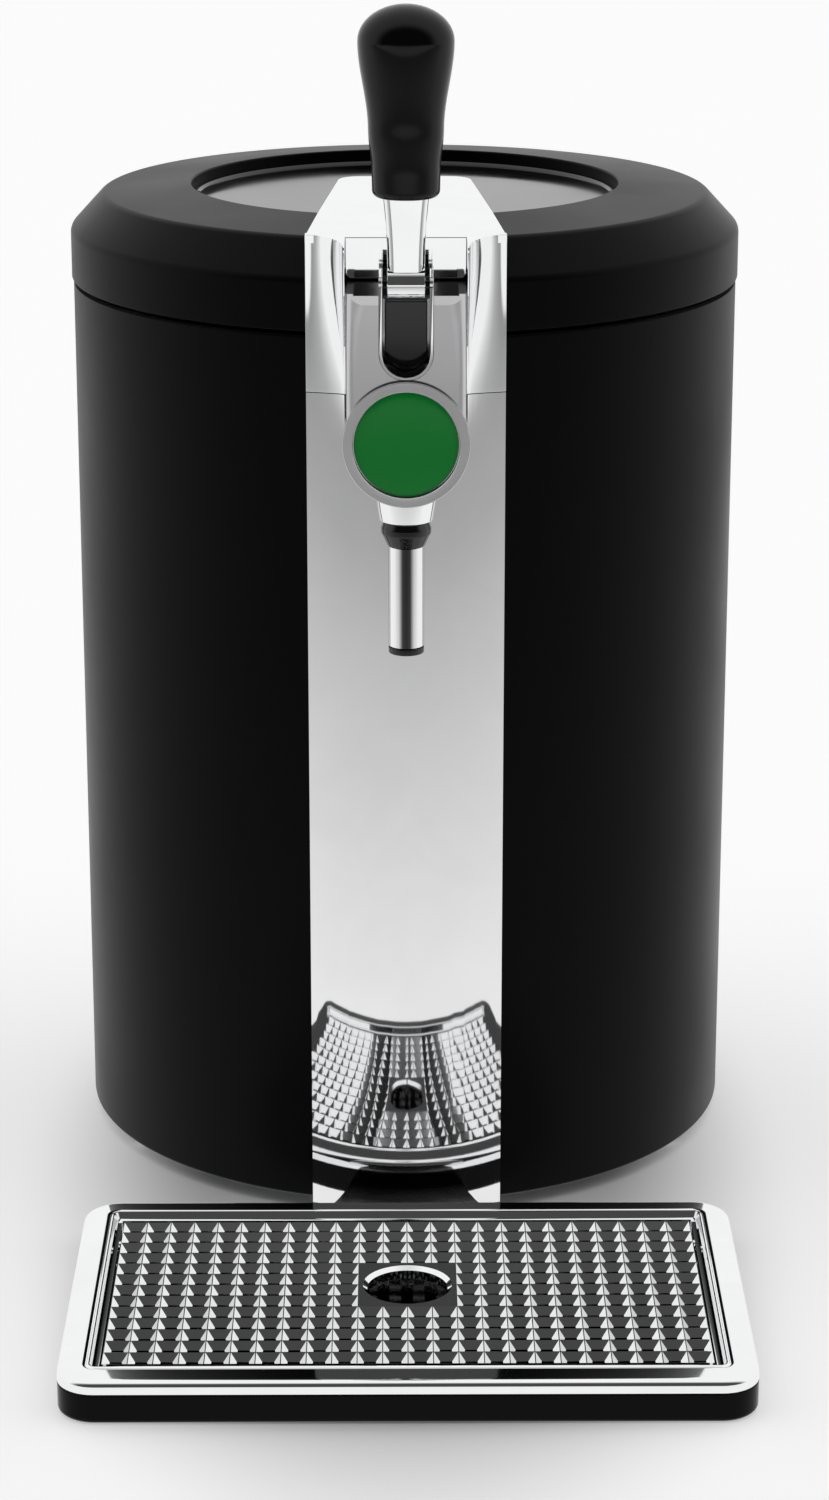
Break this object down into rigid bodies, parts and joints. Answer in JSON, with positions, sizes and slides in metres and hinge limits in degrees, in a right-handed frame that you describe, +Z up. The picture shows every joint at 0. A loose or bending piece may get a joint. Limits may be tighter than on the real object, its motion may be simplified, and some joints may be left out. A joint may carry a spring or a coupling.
{
  "type": "mini keg beer dispenser",
  "caption": "Round cooled keg dispenser with a hinged lid, a chrome column tap with pull lever and spout, and a drip tray with a pyramid-cell grille.",
  "frame": {"origin": "on the surface the dispenser stands on, under the middle of its bounding box", "axes": "+Z up; -Y towards the user, where the tap and the drip tray are; +X to the user's right"},
  "size_m": [0.268, 0.4464, 0.4785],
  "materials": {
    "black_satin": "satin black moulding with a fine grain, roughness 0.4",
    "black_gloss": "glossy black moulding",
    "chrome": "bright chrome plating",
    "polished_steel": "polished stainless steel",
    "satin_silver": "satin silver coating",
    "aluminium": "plain aluminium",
    "rubber": "black rubber",
    "grey_plastic": "grey moulding",
    "foam": "rigid cream insulating foam",
    "circuit": "green circuit board",
    "ceramic": "white ceramic",
    "badge_green": "glossy green lacquer"
  },
  "bodies": {
    "housing": {"outer_shell": "black_satin", "base_plate": "grey_plastic", "foot_front_left": "rubber", "foot_front_right": "rubber", "foot_rear_left": "rubber", "foot_rear_right": "rubber", "base_screw_front_left": "aluminium", "base_screw_front_right": "aluminium", "base_screw_rear_left": "aluminium", "base_screw_rear_right": "aluminium", "chassis_ring": "grey_plastic", "top_collar": "black_gloss", "keg_well": "aluminium", "foam_jacket": "foam", "cold_block": "aluminium", "temperature_probe": "polished_steel", "peltier_module": "ceramic", "heat_sink": "aluminium", "fan_frame": "black_gloss", "control_board": "circuit", "power_supply": "grey_plastic", "rear_panel": "black_satin", "power_inlet": "black_gloss", "switch_bezel": "black_gloss", "hinge_base": "black_satin", "hinge_pin": "polished_steel", "column_panel": "polished_steel", "column_core": "grey_plastic", "tap_bracket": "grey_plastic", "tap_housing": "satin_silver", "tap_yoke": "chrome", "lever_pin": "polished_steel", "tap_core": "black_gloss", "badge_ring": "satin_silver", "badge_disc": "badge_green", "spout_holder": "chrome", "spout_collar": "black_gloss", "spout_tube": "polished_steel", "spout_tip": "black_gloss"},
    "lid": {"lid_ring": "black_satin", "lid_dish": "black_gloss", "lid_liner": "grey_plastic", "lid_foam": "foam", "lid_gasket": "rubber", "lid_front_cap": "chrome"},
    "lever": {"tap_lever": "chrome", "tap_handle": "black_gloss"},
    "tray": {"tray_base": "black_gloss", "tray_rim": "chrome"},
    "grille": {"drip_grille": "chrome"},
    "rocker": {"power_rocker": "black_gloss"},
    "fan": {"fan_rotor": "black_gloss"}
  },
  "joints": [
    {"name": "lid_hinge", "type": "hinge", "parent": "housing", "child": "lid", "pos_m": [0, 0.2132, 0.365], "axis": [-1, 0, 0], "range_deg": [0, 85]},
    {"name": "lever_pivot", "type": "hinge", "parent": "housing", "child": "lever", "pos_m": [0, -0.0688, 0.3785], "axis": [1, 0, 0], "range_deg": [0, 55]},
    {"name": "tray_slide", "type": "slide", "parent": "housing", "child": "tray", "axis": [0, -1, 0], "range_m": [0, 0.06]},
    {"name": "grille_lift", "type": "slide", "parent": "tray", "child": "grille", "axis": [0, 0, 1], "range_m": [0, 0.03]},
    {"name": "rocker_tilt", "type": "hinge", "parent": "housing", "child": "rocker", "pos_m": [0.031, 0.21265, 0.039], "axis": [-1, 0, 0], "range_deg": [0, 12]},
    {"name": "fan_spin", "type": "hinge", "parent": "housing", "child": "fan", "pos_m": [0, 0.0892, 0.0227], "axis": [0, 0, 1], "continuous": true}
  ]
}
